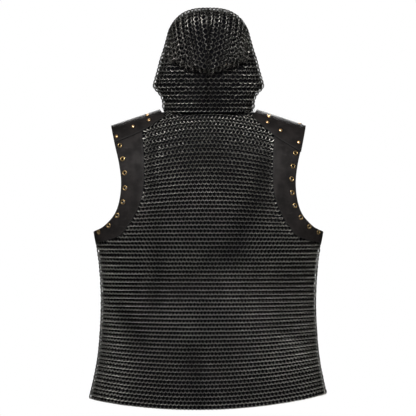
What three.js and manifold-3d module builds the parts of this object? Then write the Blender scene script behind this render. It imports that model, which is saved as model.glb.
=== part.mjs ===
// A sleeveless mail tunic with a hood, standing filled out as on its wearer, with nobody in it.
// Millimetres, +Z up. The front faces -Y, the wearer's left is +X, and the origin lies between
// the shoulders, level with the inner ends of the shoulder ridges, where the wearer carries it.
import * as THREE from "three";
import { mergeVertices } from "three/addons/utils/BufferGeometryUtils.js";
import Module from "manifold-3d";

// ---- driving dimensions ----
const MAIL = 3.2; // thickness of hanging mail
const LEATHER = 2.0; // thickness of the bands and straps
const GAP = 0.3; // between neighbours at a seam
const LIFT = 0.9; // from a band up to the strap over it

const SECTION_POWER = 0.65; // how blunt the body's cross section is: 1 is an ellipse
const BODY_WIDTH = [
  // height, half width at the side seams
  [-740, 296],
  [-690, 285],
  [-658, 277],
  [-605, 266],
  [-547, 259],
  [-450, 255],
  [-353, 261],
  [-288, 273],
  [-230, 277],
  [-170, 277],
  [60, 277],
];
const BACK_DEPTH = [
  [-740, 106],
  [-640, 98],
  [-450, 84],
  [-200, 98],
  [60, 92],
];
const FRONT_DEPTH = [
  [-740, 116],
  [-640, 112],
  [-450, 104],
  [-220, 118],
  [60, 110],
];

const YOKE = -170; // above this height the body rounds over to the shoulder ridge
const RIDGE_SLOPE = 0.342; // fall of the shoulder ridge, about 19 degrees
const RIDGE_ZERO = 127.4; // sets the ridge at height 0 where the neck begins
const RIDGE_ROUND = 40; // rounds the ridge's line across the neck

const NECK_WIDTH = 110; // half width of the neck edge
const NECK_DROP = { back: 34, front: 66 }; // fall of the neck edge at the centre
const HEM = -708; // height of the hem at the centre
const HEM_RISE = 29; // the hem is this much higher at the side seams
const HEM_TILT = 6; // and this much lower on the wearer's left side

// The armhole's edge and the inner edge of its leather band, as pairs [half width, height] from
// the shoulder ridge round to the side seam. A null height lies on the ridge.
const ARM_EDGE = [
  [232, null],
  [222, -82],
  [212, -125],
  [207, -170],
  [212, -216],
  [225, -248],
  [246, -271],
  [262, -281],
  [null, -288],
];
const BAND_EDGE = [
  [160, null],
  [155, -82],
  [153, -128],
  [153, -168],
  [158, -205],
  [170, -238],
  [191, -273],
  [221, -301],
  [null, -318],
];
const MAIL_START = 1.008; // the mail begins this far across the band, just past its inner edge
const BAND_ROWS = 18; // along a band, and down a panel's edge beside it
const BAND_CROWDING = 0.6; // how far the rows draw together at its ends, from 0 to 1
const BAND_COLUMNS = 3;

const HOOD_TOP = 247;
const HOOD_CENTRE = 88; // height where the crown is widest from front to back
const CROWN = { width: 107, back: 108, front: 98, power: 2.8 };
const HOOD_SHIFT = -2; // the hood's middle, forward of the shoulders
const HOOD_ROUND = 0.8; // power of the hood's cross section
const HOOD_FLARE = [
  // height, how far the side folds stand out past the crown's half width
  [-40, 3],
  [3, 3],
  [17, 0],
  [29, 2],
  [41, 7],
  [53, 17],
  [62, 23],
  [77, 20],
  [101, 13],
  [125, 7.5],
  [149, 1.5],
  [173, -1],
  [200, 0],
  [260, 0],
];
const NAPE_DEPTH = [
  [-40, 52],
  [-4, 53],
  [17, 60],
  [40, 68],
  [62, 76],
  [80, 82],
  [90, 84],
  [130, 88],
  [260, 88],
];
const THROAT_DEPTH = [
  [-40, 82],
  [17, 88],
  [60, 93],
  [110, 98],
  [260, 98],
];
const FOLD_RISE = 43; // the crown's lower edge rises this much from the nape to each side
const FOLD_POWER = 1.25; // the shape of that rise: 1 would be a sharp V, 2 a round U
const FOLD_GROW = [45, 88]; // the levels over which the rise comes in
const FOLD_FADE = [97, 185]; // and those over which it goes again
const FOLD_STEP = 9; // height over which the crown comes out past the nape
const FACE = { middle: 120, half: 86, width: 76, power: 2.6 }; // the face opening

const EYELET = { hole: 3.1, barrel: 3.9, flange: 6.0, rim: 1.1, lip: 0.5 }; // lip: the rolled edge
const EYELETS = 8; // on each band
const EYELET_INSET = 0.2; // share of the band's width from the armhole's edge
const RIVET = { radius: 4.4, height: 2.4 };
const RIVET_SHOULDER = { radius: 0.75, height: 0.7 }; // shares of the rivet's size at its shoulder

const NEAR = 0.01; // how far off a seam a point may be and still count as on it
const SETTLE = 12; // rounds in which a value that depends on itself settles

// ---- small helpers ----
const clamp = THREE.MathUtils.clamp;
const lerp = THREE.MathUtils.lerp;
const smooth = (t) => THREE.MathUtils.smoothstep(t, 0, 1);
const smoothBetween = (at, [from, to]) => THREE.MathUtils.smoothstep(at, from, to);

// A smooth curve through [position, value] pairs: cubic pieces whose slopes are those of the
// straight lines between each point's neighbours.
function curve(points) {
  const slope = points.map((p, i) => {
    const a = points[Math.max(i - 1, 0)];
    const b = points[Math.min(i + 1, points.length - 1)];
    return (b[1] - a[1]) / (b[0] - a[0]);
  });
  return (at) => {
    const x = clamp(at, points[0][0], points[points.length - 1][0]);
    const i = clamp(points.findIndex((p) => p[0] >= x) - 1, 0, points.length - 2);
    const [x0, y0] = points[i];
    const [x1, y1] = points[i + 1];
    const width = x1 - x0;
    const t = (x - x0) / width;
    const mix = t * t * (3 - 2 * t);
    const bend = t * (1 - t) * width * ((1 - t) * slope[i] - t * slope[i + 1]);
    return lerp(y0, y1, mix) + bend;
  };
}

const bodyWidth = curve(BODY_WIDTH);
const bodyDepth = { back: curve(BACK_DEPTH), front: curve(FRONT_DEPTH) };
const hoodFlare = curve(HOOD_FLARE);
const napeDepth = curve(NAPE_DEPTH);
const throatDepth = curve(THROAT_DEPTH);

// ---- the body's surface ----
const ridge = (x) => RIDGE_SLOPE * (RIDGE_ZERO - Math.hypot(x, RIDGE_ROUND));

// The point of the body's outer surface at an angle across the section, from the middle to a
// right angle at the side seam, and a height, on the side "back" or "front". The depth is an
// ellipse-like curve across, and a quarter ellipse from the yoke up to the ridge.
function bodyAt(angle, z, side) {
  const x = bodyWidth(z) * Math.sin(angle);
  const across = Math.max(Math.cos(angle), 0) ** SECTION_POWER;
  const up = clamp((z - YOKE) / (ridge(x) - YOKE), 0, 1);
  const depth = bodyDepth[side](z) * across * Math.sqrt(1 - up * up) + GAP / 2;
  return new THREE.Vector3(x, side === "back" ? depth : -depth, z);
}
const angleAt = (x, z) => Math.asin(clamp(x / bodyWidth(z), -1, 1));
const bodyPoint = (x, z, side) => bodyAt(angleAt(x, z), z, side);

// The body's outward normal at x and z, from the slopes of its depth.
function bodyNormal(x, z, side) {
  const step = 0.5; // half the length the slope is taken over
  const at = (dx, dz) => bodyPoint(x + dx, z + dz, side);
  const along = at(step, 0).sub(at(-step, 0));
  const down = at(0, step).sub(at(0, -step));
  const out = new THREE.Vector3().crossVectors(along, down).normalize();
  return (side === "back") === out.y > 0 ? out : out.negate();
}

// ---- the band's outline ----
// Each outline point becomes an angle across the section and a height.
function outline(points) {
  return points.map(([x, z], i) => {
    const height = z ?? ridge(x);
    return [i, x === null ? Math.PI / 2 : angleAt(x, height), height];
  });
}
function outlineCurve(points) {
  const rows = outline(points);
  const angle = curve(rows.map(([i, a]) => [i, a]));
  const height = curve(rows.map(([i, , z]) => [i, z]));
  return (t) => [Math.min(angle(t), Math.PI / 2), height(t)];
}
const armEdge = outlineCurve(ARM_EDGE);
const bandEdge = outlineCurve(BAND_EDGE);
const BAND_END = ARM_EDGE.length - 1;

// The half width and height at t along the band, and share from the armhole's edge (0) to the
// band's inner edge (1). The height never passes the ridge.
function bandSpot(t, share) {
  const [a0, z0] = armEdge(t);
  const [a1, z1] = bandEdge(t);
  const z = lerp(z0, z1, share);
  const x = bodyWidth(z) * Math.sin(lerp(a0, a1, share));
  return [x, t === 0 ? ridge(x) : Math.min(z, ridge(x))];
}

// How far along the band each row lies: closer together at its two ends, where it turns over
// the ridge and round the side.
const bandRows = Array.from({ length: BAND_ROWS + 1 }, (_, j) => {
  const even = j / BAND_ROWS;
  return BAND_END * lerp(even, (1 - Math.cos(Math.PI * even)) / 2, BAND_CROWDING);
});

// The mail's edge beside the band, one point for each of the band's rows.
const mailEdge = bandRows.map((t) => {
  const [x, z] = bandSpot(t, MAIL_START);
  return { x, z };
});

// ---- walls ----
// A closed wall through a grid of outer points: its inner face is set in along each point's own
// normal. flatten(normal, column, row) may turn the normals at a seam into the seam's plane.
function wall(grid, low, high, flatten = (n) => n) {
  const rows = grid.length;
  const columns = grid[0].length;
  const at = (j, i) => grid[clamp(j, 0, rows - 1)][clamp(i, 0, columns - 1)];
  const normals = grid.map((row, j) =>
    row.map((_, i) => {
      const a = new THREE.Vector3().subVectors(at(j, i + 1), at(j, i - 1));
      const b = new THREE.Vector3().subVectors(at(j + 1, i), at(j - 1, i));
      return flatten(a.cross(b).normalize(), i, j).normalize();
    }),
  );
  const layer = (offset) =>
    grid.map((row, j) => row.map((p, i) => p.clone().addScaledVector(normals[j][i], offset)));
  return shell(layer(high), layer(low));
}

// A closed shell from an outer and an inner grid, both with rows that go round to the left as
// seen from outside when the columns go up.
function shell(outer, inner) {
  const rows = outer.length;
  const columns = outer[0].length;
  const positions = [];
  const quad = (a, b, c, d) => {
    for (const p of [a, b, c, a, c, d]) positions.push(p.x, p.y, p.z);
  };
  for (let j = 0; j + 1 < rows; j++)
    for (let i = 0; i + 1 < columns; i++) {
      quad(outer[j][i], outer[j][i + 1], outer[j + 1][i + 1], outer[j + 1][i]);
      quad(inner[j][i], inner[j + 1][i], inner[j + 1][i + 1], inner[j][i + 1]);
    }
  for (let i = 0; i + 1 < columns; i++) {
    quad(inner[0][i], inner[0][i + 1], outer[0][i + 1], outer[0][i]);
    quad(outer[rows - 1][i], outer[rows - 1][i + 1], inner[rows - 1][i + 1], inner[rows - 1][i]);
  }
  for (let j = 0; j + 1 < rows; j++) {
    quad(inner[j][0], outer[j][0], outer[j + 1][0], inner[j + 1][0]);
    quad(outer[j][columns - 1], inner[j][columns - 1], inner[j + 1][columns - 1], outer[j + 1][columns - 1]);
  }
  const geometry = new THREE.BufferGeometry();
  geometry.setAttribute("position", new THREE.Float32BufferAttribute(positions, 3));
  return tidy(geometry);
}

// Merges shared points and drops the triangles that closed to a line, as at the hood's top.
const SAME_POINT = 1e-3; // points nearer than this are one
function tidy(geometry) {
  const merged = mergeVertices(geometry, SAME_POINT);
  const index = merged.index.array;
  const kept = [];
  for (let i = 0; i < index.length; i += 3) {
    const [a, b, c] = [index[i], index[i + 1], index[i + 2]];
    if (a !== b && b !== c && c !== a) kept.push(a, b, c);
  }
  merged.setIndex(kept);
  merged.computeVertexNormals();
  return merged;
}

// ---- materials and meshes ----
const mail = () =>
  new THREE.MeshStandardMaterial({ color: 0x1d1d1f, roughness: 0.5, metalness: 0.8 });
const leather = () =>
  new THREE.MeshStandardMaterial({ color: 0x2b2826, roughness: 0.75, metalness: 0 });
const brass = () =>
  new THREE.MeshStandardMaterial({ color: 0x9a7a3c, roughness: 0.4, metalness: 1 });
const copper = () =>
  new THREE.MeshStandardMaterial({ color: 0xb5813f, roughness: 0.35, metalness: 1 });

const group = new THREE.Group();
function add(name, geometry, material) {
  const mesh = new THREE.Mesh(geometry, material);
  mesh.name = name;
  group.add(mesh);
  return mesh;
}
const mirrored = (grid) =>
  grid.map((row) => row.map((p) => new THREE.Vector3(-p.x, p.y, p.z)).reverse());
const turned = (grid) => grid.map((row) => [...row].reverse());

// ---- front and back mail panels ----
// Rows run from the neck and ridge line down to the hem, columns from one side to the other.
const PANEL_COLUMNS = 14;
const SKIRT_ROWS = 9;
const SEAM_TOP = mailEdge[BAND_ROWS]; // the side seam's upper end, where a row is level

// The panel's upper edge: the neck edge between the ridges' inner ends, then the ridge.
function panelTop(x, side) {
  const across = clamp(Math.abs(x) / NECK_WIDTH, 0, 1);
  return ridge(x) - NECK_DROP[side] * (1 - across * across);
}
function hemHeight(x) {
  const across = x / bodyWidth(HEM);
  return HEM + HEM_RISE * across * across - HEM_TILT * across;
}

// In the yoke a row ends on the mail's edge beside the band. It is a share of the way down from
// the panel's upper edge to the level row, and below that a share of the way to the hem.
function panelRow(j, side) {
  const edge = mailEdge[j];
  const ridgeZ = edge ? ridge(edge.x) : 0;
  const down = edge ? (ridgeZ - edge.z) / (ridgeZ - SEAM_TOP.z) : (j - BAND_ROWS) / SKIRT_ROWS;
  const base = (x) =>
    edge ? lerp(panelTop(x, side), SEAM_TOP.z, down) : lerp(SEAM_TOP.z, hemHeight(x), down);
  const angle = edge ? angleAt(edge.x, edge.z) : Math.PI / 2;
  const row = [];
  for (let i = 0; i <= PANEL_COLUMNS; i++) {
    const s = (2 * i) / PANEL_COLUMNS - 1;
    let z = SEAM_TOP.z;
    for (let k = 0; k < SETTLE; k++) z = base(bodyWidth(z) * Math.sin(s * angle));
    row.push(bodyAt(s * angle, z, side));
  }
  return row;
}
const panelGrid = (side) =>
  Array.from({ length: BAND_ROWS + SKIRT_ROWS + 1 }, (_, j) => panelRow(j, side));

// At the side seams and on the ridge the wall's end lies in the plane between front and back.
function seamFlat(grid) {
  return (n, i, j) => {
    if (Math.abs(grid[j][i].y) <= GAP / 2 + NEAR) n.y = 0;
    return n;
  };
}
const backGrid = panelGrid("back");
const frontGrid = turned(panelGrid("front"));
add("mail_back", wall(backGrid, -MAIL, 0, seamFlat(backGrid)), mail());
add("mail_front", wall(frontGrid, -MAIL, 0, seamFlat(frontGrid)), mail());

// ---- hood ----
// Each half is a grid of levels from the neck edge up to the top, and of angles from the face
// opening, or the middle of the throat and brow, round the side to the middle of the nape.
const HOOD_COLUMNS = 10;
const HOOD_LEVELS = [
  0, 9, 20, 34, 38, 48, 58, 66, 77, 87, 91, 94, 98, 112, 136, 162, 186, 204, 206, 220, 233, 243, 247,
];
const BASE_FADE = 30; // height over which the levels lose the neck edge's dip
const BASE_JOIN = 26; // height over which the hood leaves the body's neck edge

function hoodBase(angle) {
  const x = NECK_WIDTH * Math.cos(angle);
  const side = angle >= 0 ? "back" : "front";
  const point = bodyPoint(x, panelTop(x, side), side);
  point.z += 2 * GAP;
  return point;
}

function hoodPoint(level, angle) {
  const base = hoodBase(angle);
  const across = Math.max(Math.cos(angle), 0) ** HOOD_ROUND;
  const along = Math.abs(Math.sin(angle)) ** HOOD_ROUND;
  const window = smoothBetween(level, FOLD_GROW) * (1 - smoothBetween(level, FOLD_FADE));
  const dip = base.z * Math.max(1 - level / BASE_FADE, 0) ** 2;
  const z = level + dip + FOLD_RISE * across ** FOLD_POWER * window;
  const up = clamp((z - HOOD_CENTRE) / (HOOD_TOP - HOOD_CENTRE), 0, 1);
  const dome = (1 - up ** CROWN.power) ** (1 / CROWN.power);
  const width = CROWN.width * dome + hoodFlare(z);
  const out = smooth((level - HOOD_CENTRE) / FOLD_STEP);
  const back = lerp(napeDepth(z), CROWN.back, out) * (level > HOOD_CENTRE ? dome : 1);
  const front = (level > HOOD_CENTRE ? CROWN.front * dome : throatDepth(z));
  const y = HOOD_SHIFT + along * (angle >= 0 ? back : -front);
  const point = new THREE.Vector3(width * across + GAP / 2, y, z);
  return point.lerp(base.setX(base.x + GAP / 2), 1 - smooth(level / BASE_JOIN));
}

// The angle of the face opening's edge at a level, or the middle of the front past its ends.
function faceAngle(level) {
  const up = Math.abs(level - FACE.middle) / FACE.half;
  if (up >= 1) return -Math.PI / 2;
  const halfWidth = FACE.width * (1 - up ** FACE.power) ** (1 / FACE.power);
  let angle = -Math.PI / 3; // a first guess
  for (let k = 0; k < SETTLE; k++) {
    const side = hoodPoint(level, angle).x / Math.cos(angle) ** HOOD_ROUND;
    angle = -Math.acos(clamp(halfWidth / side, 0, 1) ** (1 / HOOD_ROUND));
  }
  return angle;
}

const hoodLeft = HOOD_LEVELS.map((level) => {
  const from = faceAngle(level);
  return Array.from({ length: HOOD_COLUMNS + 1 }, (_, i) =>
    hoodPoint(level, lerp(from, Math.PI / 2, i / HOOD_COLUMNS)),
  );
});
function hoodFlat(grid) {
  return (n, i, j) => {
    if (j === grid.length - 1) n.set(0, 0, 1);
    if (Math.abs(grid[j][i].x) <= GAP / 2 + NEAR) n.x = 0;
    return n;
  };
}
const hoodRight = mirrored(hoodLeft);
add("hood_left", wall(hoodLeft, -MAIL, 0, hoodFlat(hoodLeft)), mail());
add("hood_right", wall(hoodRight, -MAIL, 0, hoodFlat(hoodRight)), mail());

// ---- armhole bands ----
const bandLow = GAP;
const bandHigh = GAP + LEATHER;

const bandGrid = (side) =>
  bandRows.map((t) =>
    Array.from({ length: BAND_COLUMNS + 1 }, (_, i) =>
      bodyPoint(...bandSpot(t, 1 - i / BAND_COLUMNS), side),
    ),
  );

// Where a small piece sits: on the surface at x and z, moved out by lift, its axis along the
// normal. On the ridge the normal lies in the plane between front and back.
function seat(x, z, side, lift) {
  const slope = (-RIDGE_SLOPE * x) / Math.hypot(x, RIDGE_ROUND);
  const onRidge = side === "ridge";
  const normal = onRidge ? new THREE.Vector3(-slope, 0, 1).normalize() : bodyNormal(x, z, side);
  const point = onRidge ? new THREE.Vector3(x, 0, ridge(x)) : bodyPoint(x, z, side);
  const turn = new THREE.Quaternion().setFromUnitVectors(new THREE.Vector3(0, 0, 1), normal);
  return new THREE.Matrix4().compose(
    point.addScaledVector(normal, lift),
    turn,
    new THREE.Vector3(1, 1, 1),
  );
}

// The heights where the first eyelet of a band clears the strap, and the seats of its eyelets:
// equally far apart along the line a share of the width in from the armhole's edge.
const FIRST_EYELET = { left: -81, right: -99 };
const LAST_EYELET = 46; // length left between the last eyelet and the side seam
const LINE_STEPS = 200; // points on the line the eyelets are spaced along
function eyeletSpots(hand) {
  const line = [];
  for (let i = 0, length = 0; i <= LINE_STEPS; i++) {
    const spot = bandSpot((BAND_END * i) / LINE_STEPS, EYELET_INSET);
    const point = bodyPoint(...spot, "back");
    if (i) length += point.distanceTo(line[i - 1].point);
    line.push({ spot, point, length });
  }
  const first = line.find(({ spot }) => spot[1] <= FIRST_EYELET[hand]).length;
  const last = line[line.length - 1].length - LAST_EYELET;
  return Array.from({ length: EYELETS }, (_, k) => {
    const wanted = lerp(first, last, k / (EYELETS - 1));
    return line.find(({ length }) => length >= wanted).spot;
  });
}

// ---- straps over the shoulders ----
const STRAP_ROWS = 7;
const STRAP_COLUMNS = 5; // on each side of the ridge
const STRAP_NECK = 115; // half width of the strap's inner end on the ridge
const STRAP_LOWER = {
  // the lower edge from the neck to the armhole, as [share of the length, half width, height]
  left: { back: [[0, 103, -14], [0.45, 157, -48], [1, 222, -76]] },
  right: { back: [[0, 103, -14], [0.45, 160, -62], [1, 219, -98]] },
};
const STRAP_FRONT = [[0, 103, -20], [0.45, 157, -50], [1, 222, -77]];
const strapLow = bandHigh + LIFT;
const strapHigh = strapLow + LEATHER;

function strapGrid(hand) {
  const lower = (points, t) => [
    curve(points.map(([s, x]) => [s, x]))(t),
    curve(points.map(([s, , z]) => [s, z]))(t),
  ];
  return Array.from({ length: STRAP_ROWS + 1 }, (_, j) => {
    const t = j / STRAP_ROWS;
    const topX = lerp(STRAP_NECK, ARM_EDGE[0][0], t);
    const row = [];
    for (let i = -STRAP_COLUMNS; i <= STRAP_COLUMNS; i++) {
      const side = i < 0 ? "back" : "front";
      const [x, z] = lower(side === "back" ? STRAP_LOWER[hand].back : STRAP_FRONT, t);
      const share = (i / STRAP_COLUMNS) ** 2;
      const spotX = lerp(topX, x, share);
      const spotZ = Math.min(lerp(ridge(topX), z, share), ridge(spotX));
      row.push(i ? bodyPoint(spotX, spotZ, side) : new THREE.Vector3(topX, 0, ridge(topX)));
    }
    return row;
  });
}

// ---- eyelets and rivets ----
const ROUND_SEGMENTS = 8;
function lathe(profile) {
  const points = profile.map(([r, h]) => new THREE.Vector2(r, h));
  return new THREE.LatheGeometry(points, ROUND_SEGMENTS).rotateX(Math.PI / 2);
}
const barrelEnd = -LEATHER - EYELET.lip;
const eyeletShape = lathe([
  [EYELET.hole, barrelEnd],
  [EYELET.barrel, barrelEnd],
  [EYELET.barrel, GAP],
  [EYELET.flange, GAP],
  [EYELET.hole + EYELET.lip, GAP + EYELET.rim],
  [EYELET.hole, barrelEnd],
]);
const rivetShape = lathe([
  [0, 0],
  [RIVET.radius, 0],
  [RIVET.radius * RIVET_SHOULDER.radius, RIVET.height * RIVET_SHOULDER.height],
  [0, RIVET.height],
]);
const punchReach = 4 * LEATHER; // well past both faces of the leather
const holeShape = lathe([
  [0, -punchReach],
  [EYELET.barrel + GAP, -punchReach],
  [EYELET.barrel + GAP, punchReach],
  [0, punchReach],
]);

const wasm = await Module();
wasm.setup();
function solid(geometry) {
  const bare = new THREE.BufferGeometry();
  bare.setAttribute("position", geometry.toNonIndexed().getAttribute("position"));
  const merged = tidy(bare);
  return new wasm.Manifold(
    new wasm.Mesh({
      numProp: 3,
      vertProperties: merged.getAttribute("position").array,
      triVerts: new Uint32Array(merged.index.array),
    }),
  );
}
// The geometry with a round hole at each seat.
function drilled(geometry, seats) {
  let body = solid(geometry);
  for (const place of seats) body = body.subtract(solid(holeShape.clone().applyMatrix4(place)));
  const mesh = body.getMesh();
  const made = new THREE.BufferGeometry();
  made.setAttribute("position", new THREE.BufferAttribute(mesh.vertProperties, 3));
  made.setIndex(new THREE.BufferAttribute(mesh.triVerts, 1));
  made.computeVertexNormals();
  return made;
}

const RIVETS = {
  // half width and height of each rivet on the strap; a ridge rivet needs no height
  left: {
    back: [[145, -13], [141, -24], [179, -39], [218, -62]],
    front: [[141, -24], [179, -42], [216, -66]],
  },
  right: {
    back: [[143, -16], [140, -29], [171, -48], [214, -76]],
    ridge: [[218]],
    front: [[141, -24], [179, -42], [216, -66]],
  },
};

for (const hand of ["left", "right"]) {
  const sign = hand === "left" ? 1 : -1;
  for (const side of ["back", "front"]) {
    const grid = bandGrid(side);
    const outward = side === "back" ? grid : turned(grid);
    const placed = sign > 0 ? outward : mirrored(outward);
    const seats = eyeletSpots(hand).map(([x, z]) => seat(sign * x, z, side, bandHigh));
    const band = wall(placed, bandLow, bandHigh, seamFlat(placed));
    add(`band_${side}_${hand}`, drilled(band, seats), leather());
    seats.forEach((place, k) => {
      const eyelet = add(`eyelet_${side}_${hand}_${k + 1}`, eyeletShape, brass());
      eyelet.applyMatrix4(place);
    });
  }
  const over = strapGrid(hand);
  const strap = sign > 0 ? over : mirrored(over);
  add(`strap_${hand}`, wall(strap, strapLow, strapHigh), leather());
  for (const [side, places] of Object.entries(RIVETS[hand]))
    places.forEach(([x, z], k) => {
      const rivet = add(`rivet_${side}_${hand}_${k + 1}`, rivetShape, copper());
      rivet.applyMatrix4(seat(sign * x, z, side, strapHigh + GAP));
    });
}

export default group;
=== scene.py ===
"""A sleeveless mail tunic with a hood, standing filled out as on its wearer, with nobody in it.

The shapes are worked out in millimetres and each mesh is brought to metres as it is made. The
front faces -Y, the wearer's left is +X, and the origin lies between the shoulders. The mail is
real rings, one joined mesh for each region, linked four in one over a thin dark backing cloth
whose near black is partly painted shade, for the shadow inside the hollow garment.
"""

import bpy
import numpy as np
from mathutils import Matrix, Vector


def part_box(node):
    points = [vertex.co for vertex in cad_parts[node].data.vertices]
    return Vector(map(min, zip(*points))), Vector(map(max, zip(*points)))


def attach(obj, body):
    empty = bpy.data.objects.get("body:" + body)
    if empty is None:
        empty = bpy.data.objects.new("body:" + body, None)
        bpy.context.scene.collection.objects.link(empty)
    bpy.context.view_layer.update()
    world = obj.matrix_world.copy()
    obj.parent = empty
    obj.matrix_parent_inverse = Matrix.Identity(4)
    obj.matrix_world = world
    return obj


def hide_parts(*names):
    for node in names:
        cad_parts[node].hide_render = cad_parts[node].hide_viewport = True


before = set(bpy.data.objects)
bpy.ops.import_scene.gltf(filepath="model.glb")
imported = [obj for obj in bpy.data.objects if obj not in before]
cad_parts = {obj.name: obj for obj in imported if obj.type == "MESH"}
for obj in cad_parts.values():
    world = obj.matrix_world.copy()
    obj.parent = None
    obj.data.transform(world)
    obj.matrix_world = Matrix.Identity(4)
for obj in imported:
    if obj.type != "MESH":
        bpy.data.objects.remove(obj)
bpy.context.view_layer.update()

MM = 0.001
QUARTER = np.pi / 2
rng = np.random.default_rng(11)

# ---- the garment's own sizes, as it was cut ----
GAP = 0.3  # between neighbours at a seam
SECTION_POWER = 0.65  # how blunt the body's cross section is: 1 is an ellipse
BODY_WIDTH = [
    (-740, 296), (-690, 285), (-658, 277), (-605, 266), (-547, 259), (-450, 255),
    (-353, 261), (-288, 273), (-230, 277), (-170, 277), (60, 277),
]  # height, half width at the side seams
BACK_DEPTH = [(-740, 106), (-640, 98), (-450, 84), (-200, 98), (60, 92)]
FRONT_DEPTH = [(-740, 116), (-640, 112), (-450, 104), (-220, 118), (60, 110)]
YOKE = -170  # above this height the body rounds over to the shoulder ridge
RIDGE_SLOPE = 0.342
RIDGE_ZERO = 127.4  # sets the ridge at height 0 where the neck begins
RIDGE_ROUND = 40  # rounds the ridge's line across the neck
NECK_WIDTH = 110
NECK_DROP = {"back": 34, "front": 66}
HEM = -708
HEM_RISE = 29  # the hem is this much higher at the side seams
HEM_TILT = 6  # and this much lower on the wearer's left side

RIDGE = "ridge"  # stands for the height of the shoulder ridge in an outline
SIDE = "side"  # stands for the half width at the side seam
ARM_EDGE = [
    (232, RIDGE), (222, -82), (212, -125), (207, -170), (212, -216),
    (225, -248), (246, -271), (262, -281), (SIDE, -288),
]
BAND_EDGE = [
    (160, RIDGE), (155, -82), (153, -128), (153, -168), (158, -205),
    (170, -238), (191, -273), (221, -301), (SIDE, -318),
]
BAND_END = len(ARM_EDGE) - 1
BAND_CROWDING = 0.6  # how far the rows draw together at a band's ends, from 0 to 1
MAIL_START = 1.008  # the mail begins this far across the band, just past its inner edge

HOOD_TOP = 247
HOOD_CENTRE = 88
CROWN_WIDTH = 107
CROWN_BACK = 108
CROWN_FRONT = 98
CROWN_POWER = 2.8
HOOD_SHIFT = -2
HOOD_ROUND = 0.8
HOOD_FLARE = [
    (-40, 3), (3, 3), (17, 0), (29, 2), (41, 7), (53, 17), (62, 23), (77, 20),
    (101, 13), (125, 7.5), (149, 1.5), (173, -1), (200, 0), (260, 0),
]  # height, how far the side folds stand out past the crown
NAPE_DEPTH = [
    (-40, 52), (-4, 53), (17, 60), (40, 68), (62, 76), (80, 82), (90, 84), (130, 88), (260, 88),
]
THROAT_DEPTH = [(-40, 82), (17, 88), (60, 93), (110, 98), (260, 98)]
FOLD_RISE = 43  # the crown's lower edge rises this much from the nape to each side
FOLD_POWER = 1.25  # 1 would be a sharp V, 2 a round U
FOLD_STEP = 9
FOLD_FROM = 45  # the fold's rise grows from this level
FOLD_GROW = 43
FOLD_TO = 97  # and fades from this one
FOLD_FADE = 88
BASE_FADE = 30  # height over which the levels lose the neck edge's dip
BASE_JOIN = 26  # and over which the hood leaves the neck edge
FACE_MIDDLE = 120
FACE_HALF = 86
FACE_WIDTH = 76
FACE_POWER = 2.6
PINCH_X = 56  # the upright troughs beside the nape: half width from the middle, width, depth
PINCH_WIDTH = 13
PINCH_DEPTH = 9
PINCH_FROM = 22  # the height from which they grow, over the next one
PINCH_GROW = 20
PINCH_TO = 74  # and the level from which they fade
PINCH_FADE = 14
SETTLE = 12  # rounds in which a value that depends on itself settles
ON_SEAM = GAP / 2 + 0.05  # points nearer a seam's plane than this lie on it

# ---- soft creases: how the mail hangs ----
CREASE_REACH = 1.6  # how near the side seams the creases run
# (start x, start height, end x, end height, depth, half width); a minus depth is a ridge
CREASES = {
    "back": [
        (-140, -120, -62, -340, 5.5, 26), (132, -60, 134, -185, 5.0, 18),
        (128, -240, 122, -450, 4.5, 20), (70, -175, -20, -190, -5.0, 42),
        (-70, -440, -185, -585, -5.5, 46), (100, -440, 55, -520, -4.5, 30),
        (225, -440, 160, -540, 4.5, 22), (-125, -500, -225, -545, 4.0, 18),
        (40, -560, 20, -700, 4.0, 24), (190, -590, 205, -700, -4.5, 22),
        (-30, -330, 60, -420, 3.0, 26),
    ],
    "front": [
        (0, -90, 0, -260, 5.0, 24), (120, -120, 70, -330, 5.0, 26),
        (-125, -130, -60, -350, 5.0, 26), (90, -400, 30, -560, -5.0, 40),
        (-110, -420, -170, -600, -5.0, 40), (-40, -520, -30, -700, 4.5, 24),
        (140, -540, 150, -700, 4.5, 24), (215, -430, 150, -500, 4.0, 20),
        (-220, -440, -150, -510, 4.0, 20),
    ],
}

# ---- mail, leather and fittings ----
RING_RADIUS = 6.3  # to the middle of the wire
WIRE = 0.75  # the wire's radius
RING_STEPS = 10
WIRE_STEPS = 4
CELL_MARGIN = 0.06  # left free round a ring in its cell of the bake map
HIGHLIGHT_POWER = 1.9  # how closely the painted highlight keeps to the top and bottom of a ring
UNDER_HIGHLIGHT = 0.26  # how bright the painted highlight is on a ring's lower arc, for 1 on the upper
LEAN = np.radians(28)  # rows of rings lean one way and the other in turn
ROW = 9.75  # between rows of rings
BACKING_FACE = -3.6  # the backing's outer face, from the mail's middle surface
BACKING = 1.0  # its thickness
HOLE_REACH = 1.1  # faces this many radii from a hole's middle are left out
LEATHER = 2.0
ROUNDED_FROM = np.radians(50)  # edges sharper than this are rounded
BAND_LIFT = 0.3  # from the mail's surface to the band's under side
STRAP_LIFT = 3.2
RIVET_LIFT = 5.2
RIVET_HALF = 1.2  # half a rivet's height in CAD

FLOOR = -1.4  # where the wearer's feet would stand, in metres like the lights and the camera


# ---- small helpers ----
def smooth(t):
    """0 below 0, 1 above 1, and 3t^2 - 2t^3 between."""
    t = np.clip(t, 0, 1)
    return t * t * (3 - 2 * t)


def lerp(a, b, t):
    return a + (b - a) * t


def unit(v):
    return v / np.linalg.norm(v, axis=-1, keepdims=True)


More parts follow.
